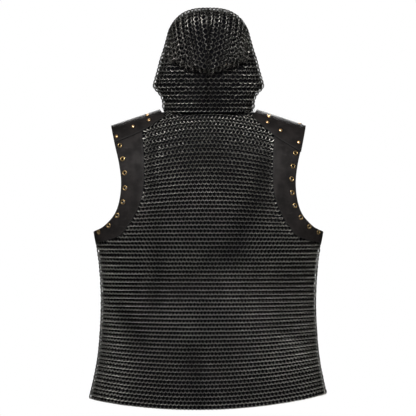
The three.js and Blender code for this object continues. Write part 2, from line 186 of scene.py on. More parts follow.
def curve(points):
    """A smooth curve through (position, value) pairs: a cubic between neighbours, whose slope at
    each point is that of the straight line between the points on either side of it."""
    at, value = np.array(points, float).T
    slope = np.empty_like(at)
    slope[1:-1] = (value[2:] - value[:-2]) / (at[2:] - at[:-2])
    slope[0] = (value[1] - value[0]) / (at[1] - at[0])
    slope[-1] = (value[-1] - value[-2]) / (at[-1] - at[-2])

    def found(x):
        x = np.clip(x, at[0], at[-1])
        i = np.clip(np.searchsorted(at, x) - 1, 0, len(at) - 2)
        width = at[i + 1] - at[i]
        t = (x - at[i]) / width
        bend = t * (1 - t) * width * ((1 - t) * slope[i] - t * slope[i + 1])
        return lerp(value[i], value[i + 1], t * t * (3 - 2 * t)) + bend

    return found


def along(path):
    """The length of a path of points up to each of them."""
    steps = np.linalg.norm(np.diff(path, axis=0), axis=1)
    return np.concatenate([[0], np.cumsum(steps)])


def on_line(at, length, line):
    """The points at some lengths along a line of points."""
    return np.stack([np.interp(at, length, line[:, i]) for i in range(3)], -1)


def outwards(normal, arm):
    """Normals turned, where they must be, to point the same way as arms from the inside."""
    return normal * np.sign((normal * arm).sum(1, keepdims=True))


def put(name, data):
    """A new object of the scene from a mesh, a light or a camera."""
    made = bpy.data.objects.new(name, data)
    bpy.context.scene.collection.objects.link(made)
    return made


body_width = curve(BODY_WIDTH)
body_depth = {"back": curve(BACK_DEPTH), "front": curve(FRONT_DEPTH)}
OUT = {"back": 1, "front": -1}
hood_flare = curve(HOOD_FLARE)
nape_depth = curve(NAPE_DEPTH)
throat_depth = curve(THROAT_DEPTH)


# ---- the body's surface ----
def ridge(x):
    return RIDGE_SLOPE * (RIDGE_ZERO - np.hypot(x, RIDGE_ROUND))


def creased(side, x, z):
    """How far the creases move the cloth out: for each, -depth times a bell across its line,
    exp(-(distance / half width)^2), where the distance is to the nearest point of the line."""
    moved = np.zeros(np.broadcast(x, z).shape)
    for x0, z0, x1, z1, depth, width in CREASES[side]:
        run = np.array([x1 - x0, z1 - z0])
        share = ((x - x0) * run[0] + (z - z0) * run[1]) / (run @ run)
        share = np.clip(share, 0, 1)
        away = np.hypot(x - x0 - share * run[0], z - z0 - share * run[1])
        moved = moved - depth * np.exp(-((away / width) ** 2))
    return moved


def angle_at(x, z):
    return np.arcsin(np.clip(x / body_width(z), -1, 1))


def smooth_depth(x, z, side):
    """D(z) cos(angle)^0.65 sqrt(1 - up^2), where up goes from 0 at the yoke to 1 on the shoulder
    ridge. Also cos(angle)^0.65 and up."""
    across = np.maximum(np.cos(angle_at(x, z)), 0) ** SECTION_POWER
    up = np.clip((z - YOKE) / (ridge(x) - YOKE), 0, 1)
    return body_depth[side](z) * across * np.sqrt(1 - up * up) + GAP / 2, across, up


def body(angle, z, side):
    """x = W(z) sin(angle); y = the depth and the creases behind, and their negative in front."""
    x = body_width(z) * np.sin(angle)
    depth, across, up = smooth_depth(x, z, side)
    depth = depth + creased(side, x, z) * np.minimum(across * CREASE_REACH, 1) * (1 - up**3)
    return np.stack(np.broadcast_arrays(x, OUT[side] * depth, z), -1)


def body_frame(angle, z, side):
    """The point, the direction along the row (round the body, left to right seen from outside)
    and the outward normal, from the surface's slopes."""
    small, step = 0.004, 1.0  # half the slopes' lengths, in radians and millimetres
    point = body(angle, z, side)
    ahead = np.minimum(angle + small, QUARTER)
    behind = np.maximum(angle - small, -QUARTER)
    row = unit(body(ahead, z, side) - body(behind, z, side)) * OUT[side]
    rise = body(angle, z + step, side) - body(angle, z - step, side)
    normal = unit(np.cross(rise, row))
    return point, row, normal


# ---- outlines of the bands ----
def outline(points):
    """Curves of the angle and the height along an outline, by the number of the point."""
    rows = []
    for i, (x, z) in enumerate(points):
        height = ridge(x) if z is RIDGE else z
        rows.append((i, QUARTER if x is SIDE else angle_at(x, height), height))
    angle = curve([(i, a) for i, a, _ in rows])
    height = curve([(i, h) for i, _, h in rows])
    return lambda t: (np.minimum(angle(t), QUARTER), height(t))


arm_edge = outline(ARM_EDGE)
band_edge = outline(BAND_EDGE)


def band_spot(t, share):
    """The angle and height at t along a band and share across it, from the armhole's edge (0) to
    the inner edge (1): both are straight blends of the two edges', kept under the ridge."""
    a0, z0 = arm_edge(t)
    a1, z1 = band_edge(t)
    z = lerp(z0, z1, share)
    x = body_width(z) * np.sin(lerp(a0, a1, share))
    z = np.where(t == 0, ridge(x), np.minimum(z, ridge(x)))
    return angle_at(x, z), z


def band_rows(count):
    """Rows along a band, closer at its two ends: 8 (0.4 e + 0.6 (1 - cos(pi e)) / 2)."""
    even = np.arange(count + 1) / count
    return BAND_END * lerp(even, (1 - np.cos(np.pi * even)) / 2, BAND_CROWDING)


def panel_top(x, side):
    """The neck edge between the ridges' inner ends, then the ridge."""
    across = np.clip(np.abs(x) / NECK_WIDTH, 0, 1)
    return ridge(x) - NECK_DROP[side] * (1 - across**2)


def hem_height(x):
    across = x / body_width(HEM)
    return HEM + HEM_RISE * across**2 - HEM_TILT * across


# ---- the hood's surface ----
def hood_base(angle):
    """The neck edge of both panels, from the throat (-90 degrees) to the nape (+90)."""
    x = NECK_WIDTH * np.cos(angle)
    ends = []
    for side in ("back", "front"):
        z = panel_top(x, side)
        depth = smooth_depth(x, z, side)[0]
        ends.append(np.stack(np.broadcast_arrays(x, OUT[side] * depth, z + 2 * GAP), -1))
    return np.where((angle >= 0)[..., None], *ends)


def dome(z):
    """1 at the crown's widest height, falling to 0 at its top: (1 - up^2.8)^(1 / 2.8)."""
    up = np.clip((z - HOOD_CENTRE) / (HOOD_TOP - HOOD_CENTRE), 0, 1)
    return (1 - up**CROWN_POWER) ** (1 / CROWN_POWER)


def hood_height(level, across):
    """A level's height: the crown's lower edge rises from the nape to each side."""
    window = smooth((level - FOLD_FROM) / FOLD_GROW) * (1 - smooth((level - FOLD_TO) / FOLD_FADE))
    return level + FOLD_RISE * across**FOLD_POWER * window


def hood(level, angle):
    """The left half of the hood: x = width cos(angle)^0.8, y = depth sin(angle)^0.8, where the
    width is the crown's dome and the side folds, and the depth that of the nape, the crown's
    back, its front or the throat. The lowest levels run into the neck edge."""
    level, angle = np.broadcast_arrays(np.asarray(level, float), np.asarray(angle, float))
    base = hood_base(angle)
    across = np.maximum(np.cos(angle), 0) ** HOOD_ROUND
    depth_share = np.abs(np.sin(angle)) ** HOOD_ROUND
    dip = base[..., 2] * np.maximum(1 - level / BASE_FADE, 0) ** 2
    z = hood_height(level, across) + dip
    width = CROWN_WIDTH * dome(z) + hood_flare(z)
    above = level > HOOD_CENTRE
    out = smooth((level - HOOD_CENTRE) / FOLD_STEP)
    back = lerp(nape_depth(z), CROWN_BACK, out) * np.where(above, dome(z), 1)
    front = np.where(above, CROWN_FRONT * dome(z), throat_depth(z))
    x = width * across
    pinch = np.exp(-(((x - PINCH_X) / PINCH_WIDTH) ** 2))
    pinch = pinch * smooth((z - PINCH_FROM) / PINCH_GROW)
    pinch = pinch * (1 - smooth((level - PINCH_TO) / PINCH_FADE))
    back = back - PINCH_DEPTH * pinch
    y = HOOD_SHIFT + depth_share * np.where(angle >= 0, back, -front)
    point = np.stack([x + GAP / 2, y, z], -1)
    base = base + np.array([GAP / 2, 0, 0])
    return lerp(point, base, (1 - smooth(level / BASE_JOIN))[..., None])


def face_angle(level):
    """The angle of the face opening's edge at each level, or the middle past its two ends."""
    level = np.asarray(level, float)
    up = np.abs(level - FACE_MIDDLE) / FACE_HALF
    half = FACE_WIDTH * (1 - np.minimum(up, 1) ** FACE_POWER) ** (1 / FACE_POWER)
    angle = np.full(level.shape, -1.0)
    for _ in range(SETTLE):
        side = hood(level, angle)[..., 0] / np.cos(angle) ** HOOD_ROUND
        angle = -np.arccos(np.clip(half / side, 0, 1) ** (1 / HOOD_ROUND))
    return np.where(up >= 1, -QUARTER, angle)


# ---- meshes ----
def add_mesh(name, points, faces, material):
    """A mesh object from an array of points in millimetres and one of triangles or quads."""
    mesh = bpy.data.meshes.new(name)
    mesh.from_pydata(points.reshape(-1, 3) * MM, [], faces)
    mesh.polygons.foreach_set("use_smooth", np.ones(len(faces), bool))
    mesh.materials.append(material)
    mesh.update()
    piece = put(name, mesh)
    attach(piece, "root")
    return piece


def give(piece, name, values):
    """A number for each of the piece's points, which its material reads by name."""
    data = piece.data.attributes.new(name, "FLOAT", "POINT")
    data.data.foreach_set("value", np.asarray(values, np.float32).ravel())


def grid_faces(rows, columns):
    """The quads of a grid of points: each row's neighbours and the row below."""
    corner = np.arange(rows * columns).reshape(rows, columns)
    faces = np.stack([corner[:-1, :-1], corner[1:, :-1], corner[1:, 1:], corner[:-1, 1:]], -1)
    return faces.reshape(-1, 4)


def offset_grid(grid, distance, flat=None):
    """A grid of points moved out along its own normals, the cross product of the grid's two
    directions. flat sets the normals' part along one axis to 0 at the grid's seams."""
    across = np.gradient(grid, axis=1)
    down = np.gradient(grid, axis=0)
    normal = np.cross(down, across)
    size = np.linalg.norm(normal, axis=-1, keepdims=True)
    normal = unit(np.where(size < 1e-9, [0, 0, 1], normal))
    if flat is not None:
        normal = unit(np.where(flat, 0, normal))
    return grid + normal * distance


def turned(grid):
    return grid[:, ::-1]


def on_hand(grid, hand):
    """A grid for the left hand as it is, or mirrored for the right."""
    return grid if hand == "left" else turned(grid) * np.array([-1, 1, 1])


def wall(name, grid, high, thickness, material, holes=(), rounding=0.0, flat=None):
    """A sheet's wall on a grid of surface points: its outer face lies high above them. A hole is
    cut at each given place by leaving out the faces within its radius and drawing the points
    round it onto its circle. Solidify gives the thickness, and Bevel rounds the edges."""
    outer = offset_grid(grid, high, flat)
    rows, columns = outer.shape[:2]
    points = outer.reshape(-1, 3)
    faces = grid_faces(rows, columns)
    for centre, axis, radius in holes:
        middle = points[faces].mean(1)
        gone = np.linalg.norm(middle - centre, axis=1) < radius * HOLE_REACH
        rim = np.intersect1d(faces[gone], faces[~gone])
        faces = faces[~gone]
        arm = points[rim] - centre
        rise = (arm @ axis)[:, None] * axis
        points[rim] = centre + rise + unit(arm - rise) * radius
    used, faces = np.unique(faces, return_inverse=True)
    piece = add_mesh(name, points[used], faces.reshape(-1, 4), material)
    solid = piece.modifiers.new("thickness", "SOLIDIFY")
    solid.thickness = thickness * MM
    solid.offset = -1
    if rounding:
        bevel = piece.modifiers.new("rounded edges", "BEVEL")
        bevel.width = rounding * MM
        bevel.segments = 2
        bevel.limit_method = "ANGLE"
        bevel.angle_limit = ROUNDED_FROM
    return piece, used


def round_quads(steps, across, strips):
    """Quads of a turned shape with a number of points across each step and strips between them.
    Also the places of their corners."""
    i, j = np.meshgrid(np.arange(steps), np.arange(strips), indexing="ij")
    ends = [(i, j), (i + 1, j), (i + 1, j + 1), (i, j + 1)]
    quads = np.stack([(p % steps) * across + q % across for p, q in ends], -1)
    return quads.reshape(-1, 4), ends


def rings(name, centre, row, normal, lean, highlight_scale, material):
    """Closed rings, joined in one mesh. A ring's point at angle a round the ring and w round the
    wire is centre + (R + r cos w)(cos a side + sin a up) + r sin w axis, where the axis is the
    normal leaned along the row. Each ring has its own cell in the bake map, and a shade, a random
    tone of its own. Its upper and lower arcs carry a painted highlight, as if lit from above,
    scaled ring by ring."""
    count = len(centre)
    lean = lean[:, None]
    side = row * np.cos(lean) - normal * np.sin(lean)
    axis = row * np.sin(lean) + normal * np.cos(lean)
    up = np.cross(axis, side)
    a = np.arange(RING_STEPS) * 2 * np.pi / RING_STEPS
    w = np.arange(WIRE_STEPS) * 2 * np.pi / WIRE_STEPS
    spoke = np.cos(a)[:, None] * side[:, None, :] + np.sin(a)[:, None] * up[:, None, :]
    reach = RING_RADIUS + WIRE * np.cos(w)
    points = (
        centre[:, None, None, :]
        + reach[:, None] * spoke[:, :, None, :]
        + (WIRE * np.sin(w))[:, None] * axis[:, None, None, :]
    )
    quad, ends = round_quads(RING_STEPS, WIRE_STEPS, WIRE_STEPS)
    faces = (quad + np.arange(count)[:, None, None] * RING_STEPS * WIRE_STEPS).reshape(-1, 4)
    piece = add_mesh(name, points, faces, material)

    cells = int(np.ceil(np.sqrt(count)))
    place = np.stack(np.divmod(np.arange(count), cells), -1)
    local = np.stack([np.stack([p / RING_STEPS, q / WIRE_STEPS], -1) for p, q in ends], -2)
    local = CELL_MARGIN + (1 - 2 * CELL_MARGIN) * local.reshape(1, -1, 2)
    spot = (place[:, None, :] + local) / cells
    bake = piece.data.uv_layers.new(name="OFBake")
    bake.data.foreach_set("uv", spot.astype(np.float32).ravel())
    give(piece, "shade", np.repeat(rng.random(count), RING_STEPS * WIRE_STEPS))
    # painted highlight: bright on the upper arc as if lit from above, weaker on the lower arc, black at
    # the sides
    arc_highlight = np.abs(np.sin(a)) ** HIGHLIGHT_POWER * np.where(np.sin(a) > 0, 1, UNDER_HIGHLIGHT)
    give(piece, "arc_highlight", highlight_scale[:, None] * np.repeat(arc_highlight, WIRE_STEPS))
    return piece


def turned_shape(profile, steps):
    """A closed shape turned about +Z from a profile of (radius, height) that starts and ends on
    the axis or meets itself: points, and quads that face outwards."""
    radius, height = np.array(profile, float).T
    a = np.arange(steps) * 2 * np.pi / steps
    points = np.stack(
        [radius * np.cos(a)[:, None], radius * np.sin(a)[:, None], height + 0 * a[:, None]], -1
    )
    return points.reshape(-1, 3), round_quads(steps, len(profile), len(profile) - 1)[0]


def seated(points, faces, centre, axis):
    """A turned shape's copies, each with its foot at a centre and its axis along an axis."""
    axis = unit(axis)
    side = unit(np.cross(axis, np.array([0.0, 1.0, 0.01])))
    other = np.cross(axis, side)
    placed = (
        centre[:, None, :]
        + points[:, 0:1] * side[:, None, :]
        + points[:, 1:2] * other[:, None, :]
        + points[:, 2:3] * axis[:, None, :]
    )
    moved = faces + np.arange(len(centre))[:, None, None] * len(points)
    return placed, moved.reshape(-1, 4)


def welded(piece):
    """Joins points that lie on each other, as on a turned shape's axis."""
    weld = piece.modifiers.new("closed", "WELD")
    weld.merge_threshold = 0.01 * MM
    return piece


# ---- shader maths ----
class Socket:
    """One output of a node. The operators on it add Math nodes, for numbers and sockets."""

    def __init__(self, paint, output):
        self.paint = paint
        self.output = output

    def math(self, operation, first, second):
        return self.paint.node("ShaderNodeMath", {"operation": operation}, {0: first, 1: second})

    def __add__(self, other):
        return self.math("ADD", self, other)

    def __rsub__(self, other):
        return self.math("SUBTRACT", other, self)

    def __mul__(self, other):
        return self.math("MULTIPLY", self, other)

    __radd__ = __add__
    __rmul__ = __mul__

    def step(self, low, high):
        """0 where this is under low, 1 over high, and smooth between."""
        return self.paint.node(
            "ShaderNodeMapRange",
            {"interpolation_type": "SMOOTHSTEP"},
            {"Value": self, "From Min": low, "From Max": high},
        )


class Paint:
    """A material and its nodes. What stays the same all over goes straight on the shader."""

    def __init__(self, name, **constants):
        self.material = bpy.data.materials.new(name)
        self.material.use_nodes = True
        self.tree = self.material.node_tree
        self.shader = self.tree.nodes["Principled BSDF"]
        for socket, value in constants.items():
            self.shader.inputs[self.spelled(socket)].default_value = value

    def spelled(self, socket):
        """A shader socket's name from its plain words joined by underscores."""
        return socket.replace("_", " ").title().replace("Ior", "IOR")

    def node(self, kind, settings=None, inputs=None, output=0):
        """Adds a node of a type: its settings first, then its sockets' values or links."""
        made = self.tree.nodes.new(kind)
        for key, value in (settings or {}).items():
            setattr(made, key, value)
        for key, value in (inputs or {}).items():
            self.link(value, made.inputs[key])
        return Socket(self, made.outputs[output])

    def link(self, value, socket):
        if isinstance(value, Socket):
            self.tree.links.new(value.output, socket)
        else:
            socket.default_value = value

    def place(self):
        """Where a point is on the object, in metres."""
        return self.node("ShaderNodeTexCoord", output="Object")

    def own(self, name):
        """The number that the piece's points carry under a name."""
        return self.node("ShaderNodeAttribute", {"attribute_name": name}, output="Fac")

    def stretched(self, x, y, z):
        return self.node("ShaderNodeMapping", {}, {"Vector": self.place(), "Scale": (x, y, z)})

    def noise(self, size, detail=2.0, where=None):
        """Soft noise, 0 to 1, with spots of about a size in millimetres."""
        inputs = {"Vector": where or self.place(), "Scale": 1 / (size * MM), "Detail": detail}
        return self.node("ShaderNodeTexNoise", {}, inputs)

    def cells(self, size):
        """The distance to the nearest of scattered points a size apart, in millimetres."""
        inputs = {"Vector": self.place(), "Scale": 1 / (size * MM)}
        return self.node("ShaderNodeTexVoronoi", {}, inputs)

    def mix(self, share, first, second):
        """A colour between two, by a share."""
        return self.node(
            "ShaderNodeMix", {"data_type": "RGBA"}, {0: share, 6: first, 7: second}, output=2
        )

    def bump(self, height, depth):
        """A normal from a height of 0 to 1 that stands for a depth in millimetres."""
        return self.node(
            "ShaderNodeBump", {}, {"Height": height, "Distance": depth * MM, "Strength": 1.0}
        )

    def finish(self, **links):
        for socket, value in links.items():
            self.link(value, self.shader.inputs[self.spelled(socket)])
        return self.material


def grey(value, warm=0.0):
    """A grey that is a little warmer, or cooler below 0."""
    return (value * (1 + warm), value, value * (1 - warm), 1.0)


def mail_steel():
    """Blackened steel wire, black at the sides, with a painted highlight in pale grey on the upper and
    lower arcs, as if lit from above: with ring by ring shades, slow tarnish and fine pitting."""
    paint = Paint("mail steel", metallic=1.0, specular_tint=(0.25, 0.25, 0.25, 1))
    tarnish = paint.noise(60, 3.0).step(0.35, 0.7)
    grain = paint.noise(0.9, 2.0)
    # the painted highlight on the arcs, varied by each ring's shade and the tarnish
    highlighted = paint.own("arc_highlight") * (0.62 + 0.2 * paint.own("shade") + 0.18 * tarnish)
    colour = paint.mix(highlighted, grey(0.003), (1.0, 0.965, 0.89, 1))
    colour = paint.mix(grain.step(0.58, 0.8) * 0.5, colour, grey(0.03, 0.05))
    rough = 0.26 + 0.1 * grain
    return paint.finish(base_color=colour, roughness=rough)


def shadow_backing_cloth():
    """A plain close weave, a little blue. Its near black is partly painted shade, for the shadow inside
    the hollow garment between the rings.
    """
    paint = Paint("backing cloth", metallic=0.0, roughness=0.9, specular_ior_level=0.06)
    warp, weft = (
        paint.node(
            "ShaderNodeTexWave",
            {"bands_direction": direction},
            {"Vector": paint.place(), "Scale": 330.0, "Distortion": 0.4},
        )
        for direction in "XZ"
    )
    weave = warp * 0.5 + weft * 0.5
    # near black: a dark cloth, partly painted shade for the garment's shadowed inside
    colour = paint.mix(weave, (0.0008, 0.0008, 0.0012, 1), (0.0025, 0.0026, 0.004, 1))
    normal = paint.bump(weave, 0.15)
    return paint.finish(base_color=colour, normal=normal)


def band_leather():
    """Dark oiled leather: mottled, with grain, faint scuffs and a plain dark tone along its edges."""
    paint = Paint("band leather", metallic=0.0, specular_ior_level=0.16)
    mottle = paint.noise(26, 4.0).step(0.3, 0.72)
    scuff = paint.noise(7, 5.0, paint.stretched(0.35, 0.6, 1.0)).step(0.56, 0.78)
    pores = paint.cells(1.3)
    grain = paint.noise(0.8, 3.0)
    colour = paint.mix(mottle, (0.0042, 0.0032, 0.0029, 1), (0.0128, 0.0104, 0.0098, 1))
    colour = paint.mix(scuff * 0.4, colour, (0.027, 0.0235, 0.022, 1))
    # a plain dark tone at the edges, without mottle or scuffs, fading out over about 3 mm
    edge = paint.own("edge")
    colour = paint.mix(1 - edge.step(0.4, 3.2), colour, (0.009, 0.0085, 0.008, 1))
    rough = 0.62 - 0.12 * mottle + 0.1 * grain
    hide = pores.step(0.1, 0.75) * 0.7 + grain * 0.3
    wrinkle = paint.noise(14, 3.0, paint.stretched(1.0, 1.0, 0.45))
    normal = paint.bump(hide * 0.35 + wrinkle * 0.9, 0.5)
    return paint.finish(base_color=colour, roughness=rough, normal=normal)


def worn_metal(name, bright, dull, size):
    """A turned brass or copper fitting, duller where nobody rubs it."""
    paint = Paint(name, metallic=1.0)
    tarnish = paint.noise(size, 4.0).step(0.35, 0.7)
    colour = paint.mix(tarnish, bright, dull)
    rough = 0.24 + 0.22 * tarnish
    normal = paint.bump(paint.noise(0.7, 2.0), 0.03)
    return paint.finish(base_color=colour, roughness=rough, normal=normal)


def thread():
    paint = Paint("waxed thread", metallic=0.0, roughness=0.6)
    twist = paint.noise(0.5, 1.0)
    return paint.finish(
        base_color=paint.mix(twist, (0.012, 0.011, 0.010, 1), (0.03, 0.028, 0.025, 1)),
        normal=paint.bump(twist, 0.1),
    )


STEEL = mail_steel()
SHADOW_CLOTH = shadow_backing_cloth()
HIDE = band_leather()
BRASS = worn_metal("eyelet brass", (0.38, 0.26, 0.115, 1), (0.20, 0.14, 0.07, 1), 4)
COPPER = worn_metal("rivet copper", (0.95, 0.62, 0.30, 1), (0.70, 0.42, 0.20, 1), 5)
THREAD = thread()

# ---- the mail's edges ----
mail_edge = np.stack(band_spot(band_rows(240), MAIL_START), -1)  # angle and height, ridge to side
SEAM_TOP = mail_edge[-1, 1]


def edge_line(side, hand):
    """The mail's edge beside a band, as points of the surface."""
    angle = mail_edge[:, 0] * (1 if hand == "left" else -1)
    return body(angle, mail_edge[:, 1], side)


STRAP_BACK = {
    "left": [(103, -14), (157, -48), (222, -76)],
    "right": [(103, -14), (160, -62), (219, -98)],
}
STRAP_FRONT = [(103, -20), (157, -50), (222, -77)]
STRAP_SHARES = (0, 0.45, 1)  # of its length, where those points lie
STRAP_NECK = 115  # half width of its inner end on the ridge


def strap_lower(side, hand):
    return STRAP_BACK[hand] if side == "back" else STRAP_FRONT


# ---- rows of rings on the body ----
REFERENCE_X = 60  # the rows' spacing is measured down the panel here
HALF_ROW = {"back": 35, "front": 37}  # rings from the middle of a panel to its side seam
FROWN = 22  # how far rows near the shoulders fall towards the armholes
FROWN_WIDTH = 150  # at this half width
FROWN_FROM = -330  # they begin to fall at this height, and fall in full this much higher up
FROWN_GROW = 320
SMILE_FADE = 300  # height over which the rows lose the hem's curve
NECK_CLEAR = 4  # the rings stop this far below the neck edge
STRAP_OVERLAP = 7  # and run this far in under a strap
BAND_OVERLAP = 2.5  # and a band
TUCK_START = 1  # beside a band they flatten and sink, from here over the next length
TUCK_REACH = 11
TUCK_FLATTEN = 0.6
TUCK_DEPTH = 1.7
LEAN_SPREAD = np.radians(2.2)  # no two rings lie quite alike
PLACE_SPREAD = 0.16
CREASE_LIGHT_AND_SHADE = 0.07  # painted light and shade on the creases: a ridge's painted highlight is this much brighter for each millimetre it stands out, a trough's darker


def row_levels():
    """Heights at the reference line whose distance along the back is a row apart."""
    under = 5  # counted from this far below the hem
    z = np.linspace(HEM - under, ridge(REFERENCE_X), 900)
    path = body(angle_at(REFERENCE_X, z), z, "back")
    length = along(path)
    wanted = np.arange(under + RING_RADIUS, length[-1], ROW)
    return np.interp(wanted, length, z)


def row_height(level, x):
    """A row's height: its level, with the hem's curve low down and the shoulders' fall high up."""
    across = x / body_width(HEM)
    smile = (HEM_RISE * across**2 - HEM_TILT * across) * (1 - smooth((level - HEM) / SMILE_FADE))
    frown = FROWN * (x / FROWN_WIDTH) ** 2 * smooth((level - FROWN_FROM) / FROWN_GROW)
    return level + smile - frown


def panel_rings(side):
    """Centres, row directions, normals, leans and painted highlight strengths of a panel's rings.
    Every row has the same number across, equally far apart, and every second row is half a step over."""
    half = HALF_ROW[side]
    centre_line = 240
    dense = np.linspace(-QUARTER, QUARTER, 2 * centre_line + 1)
    found = []
    for k, level in enumerate(row_levels()):
        z = np.full(dense.shape, level)
        for _ in range(SETTLE):
            z = row_height(level, body_width(z) * np.sin(dense))
        length = along(body(dense, z, side))
        middle = length[centre_line]
        share = np.where(dense < 0, length / middle - 1, (length - middle) / (length[-1] - middle))
        odd = k % 2
        steps = np.arange(-half, half + odd) + (0 if odd else 0.5)
        if odd and side == "front":
            steps = steps[1:-1]
        angle = np.interp(steps / half, share, dense)
        z = np.interp(angle, dense, z)
        found.append(np.stack([angle, z, np.full(len(angle), 1 - 2 * odd)], -1))
    angle, z, turn = np.concatenate(found).T
    x = body_width(z) * np.sin(angle)
    kept = z < panel_top(x, side) - NECK_CLEAR
    limit = np.interp(-z, -mail_edge[:, 1], mail_edge[:, 0], left=mail_edge[0, 0])
    inside = np.where(z > SEAM_TOP, limit - np.abs(angle), 1.0)
    point, row, normal = body_frame(angle, z, side)
    near = np.full(len(angle), np.inf)
    for hand in ("left", "right"):
        line = edge_line(side, hand)
        away = np.linalg.norm(point[:, None, :] - line[None, ::3, :], axis=2).min(1)
        near = np.minimum(near, away)
        sign = 1 if hand == "left" else -1
        bottom = np.array(strap_lower(side, hand), float)
        cover = np.interp(sign * x, *bottom.T) + STRAP_OVERLAP
        kept &= (sign * x < bottom[0, 0]) | (z < cover)
    near = np.where(inside > 0, near, -near)
    kept &= near > -BAND_OVERLAP
    tuck = 1 - smooth((near - TUCK_START) / TUCK_REACH)
    lean = turn * LEAN * (1 - TUCK_FLATTEN * tuck)
    lean = lean + rng.normal(0, LEAN_SPREAD, len(lean))
    centre = point - normal * (TUCK_DEPTH * tuck)[:, None]
    centre = centre + rng.normal(0, PLACE_SPREAD, centre.shape)
    # painted light on the crease ridges and painted shade in the troughs
    highlight_scale = 1 + CREASE_LIGHT_AND_SHADE * creased(side, x, z)
    return [part[kept] for part in (centre, row, normal, lean, highlight_scale)]


# ---- rings on the hood ----
HOOD_HALF = 29  # rings from the nape to the middle of the front
HOOD_ROW = 9.6
HOOD_LOWEST = -61.7  # heights of the lowest and highest level rows
HOOD_HIGHEST = 205
HOOD_CLEAR = 3  # they stop this far from the neck edge and the crown
FACE_CLEAR = 0.03  # and this far from the face opening's edge, in radians
CROWN_EDGE = 89  # half width of the crown's own rows
CROWN_OVER = 4  # a ring's middle may lie this far past it
CROWN_ROW = 8.8
CROWN_STEP = 13.6
CROWN_SLANT = 26  # how far the crown's rows draw in to the middle from its top to the fold
SLANT_POWER = 1.5
# the hood's rings get a weaker painted highlight than the body's, the crown's weaker still
HOOD_HIGHLIGHT = 0.88
ON_MIDDLE = 0.6  # a ring nearer the middle plane than this has no mirror image
NAPE_SHADE = 0.4  # painted shade under the crown's fold: the rings' painted highlight there is dimmer by up to this
NAPE_WIDTH = 48
NAPE_MIDDLE = 42
NAPE_HEIGHT = 36
CROWN_HIGHLIGHT = 0.82  # how bright the crown's painted highlight is, for 1 on the body


def level_at(height, angle):
    """The level that lies at a height, found by halving; 0 under the neck edge."""
    height, angle = np.broadcast_arrays(np.asarray(height, float), np.asarray(angle, float))
    low = np.zeros(height.shape)
    high = np.full(height.shape, float(HOOD_TOP))
    for _ in range(22):
        middle = (low + high) / 2
        under = hood(middle, angle)[..., 2] < height
        low, high = np.where(under, middle, low), np.where(under, high, middle)
    return (low + high) / 2


def hood_side_rings():
    """Level rows round the left half, from the nape to the face opening or the throat."""
    dense = np.linspace(QUARTER, -QUARTER, 401)
    found = []
    for k, height in enumerate(np.arange(HOOD_LOWEST, HOOD_HIGHEST, HOOD_ROW)):
        length = along(hood(level_at(height, dense), dense))
        odd = k % 2
        steps = np.arange(HOOD_HALF + odd) + (0 if odd else 0.5)
        angle = np.interp(steps / HOOD_HALF, length / length[-1], dense)
        found.append(np.stack([np.full(len(angle), height), angle, 1 - 2 * odd + 0 * angle], -1))
    height, angle, turn = np.concatenate(found).T
    small, step = 0.006, 0.8  # half the slopes' lengths, in radians and millimetres
    level = level_at(height, angle)
    point = hood(level, angle)
    ahead = np.maximum(angle - small, -QUARTER)
    behind = np.minimum(angle + small, QUARTER)
    row = unit(hood(level_at(height, ahead), ahead) - hood(level_at(height, behind), behind))
    rise = hood(level + step, angle) - hood(level - step, angle)
    normal = outwards(unit(np.cross(row, rise)), point - [0, HOOD_SHIFT, HOOD_CENTRE])
    face = face_angle(level)
    open_side = (face > -QUARTER) & (angle < face + FACE_CLEAR)
    crown = (level > HOOD_CENTRE - HOOD_CLEAR) & (point[:, 0] < CROWN_EDGE)
    kept = ~open_side & ~crown & (height > hood_base(angle)[:, 2] + HOOD_CLEAR)
    x, y, z = point.T
    # painted shade under the crown's fold, over the nape
    nape = np.exp(-((x / NAPE_WIDTH) ** 2) - ((z - NAPE_MIDDLE) / NAPE_HEIGHT) ** 2) * (y > 0)
    highlight_scale = HOOD_HIGHLIGHT - NAPE_SHADE * nape
    return [part[kept] for part in (point, row, normal, turn * LEAN, highlight_scale)]


def crown_line(x, samples=260):
    """The line of a crown row from the fold over the nape, up the back, over the top and down to
    the brow or beside the face opening, and the number of its topmost point. Its half width is x
    at the top and draws in by slant (1 - up)^1.5 lower down, until it meets the middle seam."""
    level = HOOD_CENTRE + 1 + (HOOD_TOP - HOOD_CENTRE - 1) * np.sin(np.linspace(0, QUARTER, samples))
    across = np.full(samples, 0.5)
    for _ in range(SETTLE):
        z = hood_height(level, np.clip(across, 0, 1))
        up = np.clip((z - HOOD_CENTRE) / (HOOD_TOP - HOOD_CENTRE), 0, 1)
        drawn = x - CROWN_SLANT * (1 - up) ** SLANT_POWER
        across = drawn / np.maximum(CROWN_WIDTH * dome(z) + hood_flare(z), 1e-6)
    fits = (across <= 1) & (drawn > -CROWN_ROW / 2)
    level, across = level[fits], np.maximum(across[fits], 0)
    angle = np.arccos(across ** (1 / HOOD_ROUND))
    open_front = (-angle < face_angle(level)) & (np.abs(level - FACE_MIDDLE) < FACE_HALF)
    start = 0 if not open_front.any() else np.flatnonzero(open_front).max() + 1
    back = hood(level, angle)
    front = hood(level[start:], -angle[start:])
    return np.concatenate([back, front[::-1]]), len(back) - 1


